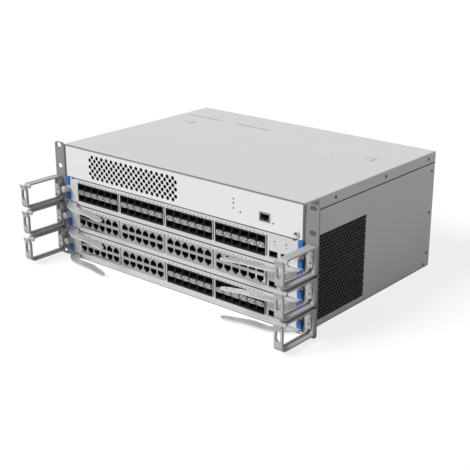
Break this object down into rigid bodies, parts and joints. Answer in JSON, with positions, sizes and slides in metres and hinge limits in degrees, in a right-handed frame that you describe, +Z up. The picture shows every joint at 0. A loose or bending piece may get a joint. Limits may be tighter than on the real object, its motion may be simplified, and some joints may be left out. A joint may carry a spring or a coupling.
{
  "type": "modular rack switch",
  "caption": "Rack-mount modular network switch with slide-in line cards, swing levers, captive screws, side cable rings, power modules and a fan tray.",
  "frame": {"origin": "on the floor under the middle of the whole unit's box, rings and rear handles included", "axes": "+X to the right seen from the front, +Y to the back, +Z up; the card fronts face -Y"},
  "size_m": [0.4826, 0.404, 0.177],
  "materials": {
    "shell_paint": "satin powder coat",
    "panel_paint": "satin paint",
    "ear_paint": "satin powder coat",
    "ring_plastic": "matt moulded",
    "trim": "semi-gloss moulded",
    "lever_metal": "satin paint",
    "screw_metal": "turned, nickel plated",
    "port_metal": "plated sheet",
    "jack_housing": "moulded, shielded front",
    "light_pipe": "clear moulded",
    "button": "moulded",
    "zinc_sheet": "zinc plated sheet",
    "board": "solder resist",
    "connector": "moulded",
    "power_case": "plated case",
    "rotor_plastic": "moulded"
  },
  "bodies": {
    "chassis": {"chassis_tub": "shell_paint", "top_cover": "shell_paint", "control_panel": "panel_paint", "control_board": "board", "console_port": "port_metal", "ground_jack": "screw_metal", "status_lights": "light_pipe", "shelf": "zinc_sheet", "card_guides": "zinc_sheet", "backplane": "board", "backplane_sockets": "connector", "rear_panel": "zinc_sheet", "left_ear": "ear_paint", "right_ear": "ear_paint", "left_ring_1": "ring_plastic", "right_ring_1": "ring_plastic", "left_ring_2": "ring_plastic", "right_ring_2": "ring_plastic", "left_ring_3": "ring_plastic", "right_ring_3": "ring_plastic"},
    "reset_button": {"reset_button": "button"},
    "fan_tray": {"fan_tray": "zinc_sheet"},
    "card_1": {"card_1_faceplate": "panel_paint", "card_1_pan": "zinc_sheet", "card_1_board": "board", "card_1_plugs": "connector", "card_1_end_trims": "trim", "card_1_cages": "port_metal"},
    "card_1_left_lever": {"card_1_left_lever": "lever_metal"},
    "card_1_left_screw": {"card_1_left_screw": "screw_metal"},
    "card_1_right_lever": {"card_1_right_lever": "lever_metal"},
    "card_1_right_screw": {"card_1_right_screw": "screw_metal"},
    "card_2": {"card_2_faceplate": "panel_paint", "card_2_pan": "zinc_sheet", "card_2_board": "board", "card_2_plugs": "connector", "card_2_end_trims": "trim", "card_2_cages": "port_metal", "card_2_jacks": "jack_housing"},
    "card_2_left_lever": {"card_2_left_lever": "lever_metal"},
    "card_2_left_screw": {"card_2_left_screw": "screw_metal"},
    "card_2_right_lever": {"card_2_right_lever": "lever_metal"},
    "card_2_right_screw": {"card_2_right_screw": "screw_metal"},
    "card_3": {"card_3_faceplate": "panel_paint", "card_3_pan": "zinc_sheet", "card_3_board": "board", "card_3_plugs": "connector", "card_3_end_trims": "trim", "card_3_cages": "port_metal", "card_3_jacks": "jack_housing"},
    "card_3_left_lever": {"card_3_left_lever": "lever_metal"},
    "card_3_left_screw": {"card_3_left_screw": "screw_metal"},
    "card_3_right_lever": {"card_3_right_lever": "lever_metal"},
    "card_3_right_screw": {"card_3_right_screw": "screw_metal"},
    "fan_rotor_1": {"fan_rotor_1": "rotor_plastic"},
    "fan_rotor_2": {"fan_rotor_2": "rotor_plastic"},
    "power_module_1": {"power_module_1": "power_case"},
    "power_module_2": {"power_module_2": "power_case"}
  },
  "joints": [
    {"name": "reset_press", "type": "slide", "parent": "chassis", "child": "reset_button", "axis": [0, 1, 0], "range_m": [0, 0.0006], "stiffness_N_per_m": 600},
    {"name": "card_1_slide", "type": "slide", "parent": "chassis", "child": "card_1", "axis": [0, -1, 0], "range_m": [0, 0.2]},
    {"name": "card_1_left_lever_swing", "type": "hinge", "parent": "card_1", "child": "card_1_left_lever", "pos_m": [-0.207, -0.125, 0.0863], "axis": [0, 0, -1], "range_deg": [0, 45]},
    {"name": "card_1_left_screw_turn", "type": "hinge", "parent": "card_1", "child": "card_1_left_screw", "pos_m": [-0.2156, -0.131, 0.1073], "axis": [0, -1, 0], "continuous": true},
    {"name": "card_1_right_lever_swing", "type": "hinge", "parent": "card_1", "child": "card_1_right_lever", "pos_m": [0.207, -0.125, 0.0863], "axis": [0, 0, 1], "range_deg": [0, 45]},
    {"name": "card_1_right_screw_turn", "type": "hinge", "parent": "card_1", "child": "card_1_right_screw", "pos_m": [0.2156, -0.131, 0.1073], "axis": [0, -1, 0], "continuous": true},
    {"name": "card_2_slide", "type": "slide", "parent": "chassis", "child": "card_2", "axis": [0, -1, 0], "range_m": [0, 0.2]},
    {"name": "card_2_left_lever_swing", "type": "hinge", "parent": "card_2", "child": "card_2_left_lever", "pos_m": [-0.207, -0.125, 0.0453], "axis": [0, 0, -1], "range_deg": [0, 45]},
    {"name": "card_2_left_screw_turn", "type": "hinge", "parent": "card_2", "child": "card_2_left_screw", "pos_m": [-0.2156, -0.131, 0.0663], "axis": [0, -1, 0], "continuous": true},
    {"name": "card_2_right_lever_swing", "type": "hinge", "parent": "card_2", "child": "card_2_right_lever", "pos_m": [0.207, -0.125, 0.0453], "axis": [0, 0, 1], "range_deg": [0, 45]},
    {"name": "card_2_right_screw_turn", "type": "hinge", "parent": "card_2", "child": "card_2_right_screw", "pos_m": [0.2156, -0.131, 0.0663], "axis": [0, -1, 0], "continuous": true},
    {"name": "card_3_slide", "type": "slide", "parent": "chassis", "child": "card_3", "axis": [0, -1, 0], "range_m": [0, 0.2]},
    {"name": "card_3_left_lever_swing", "type": "hinge", "parent": "card_3", "child": "card_3_left_lever", "pos_m": [-0.207, -0.125, 0.0043], "axis": [0, 0, -1], "range_deg": [0, 45]},
    {"name": "card_3_left_screw_turn", "type": "hinge", "parent": "card_3", "child": "card_3_left_screw", "pos_m": [-0.2156, -0.131, 0.0253], "axis": [0, -1, 0], "continuous": true},
    {"name": "card_3_right_lever_swing", "type": "hinge", "parent": "card_3", "child": "card_3_right_lever", "pos_m": [0.207, -0.125, 0.0043], "axis": [0, 0, 1], "range_deg": [0, 45]},
    {"name": "card_3_right_screw_turn", "type": "hinge", "parent": "card_3", "child": "card_3_right_screw", "pos_m": [0.2156, -0.131, 0.0253], "axis": [0, -1, 0], "continuous": true},
    {"name": "fan_tray_slide", "type": "slide", "parent": "chassis", "child": "fan_tray", "axis": [0, 1, 0], "range_m": [0, 0.04]},
    {"name": "fan_rotor_1_spin", "type": "hinge", "parent": "fan_tray", "child": "fan_rotor_1", "pos_m": [-0.095, 0.1696, 0.063], "axis": [0, 1, 0], "continuous": true},
    {"name": "fan_rotor_2_spin", "type": "hinge", "parent": "fan_tray", "child": "fan_rotor_2", "pos_m": [0.095, 0.1696, 0.063], "axis": [0, 1, 0], "continuous": true},
    {"name": "power_module_1_slide", "type": "slide", "parent": "chassis", "child": "power_module_1", "axis": [0, 1, 0], "range_m": [0, 0.18]},
    {"name": "power_module_2_slide", "type": "slide", "parent": "chassis", "child": "power_module_2", "axis": [0, 1, 0], "range_m": [0, 0.18]}
  ]
}
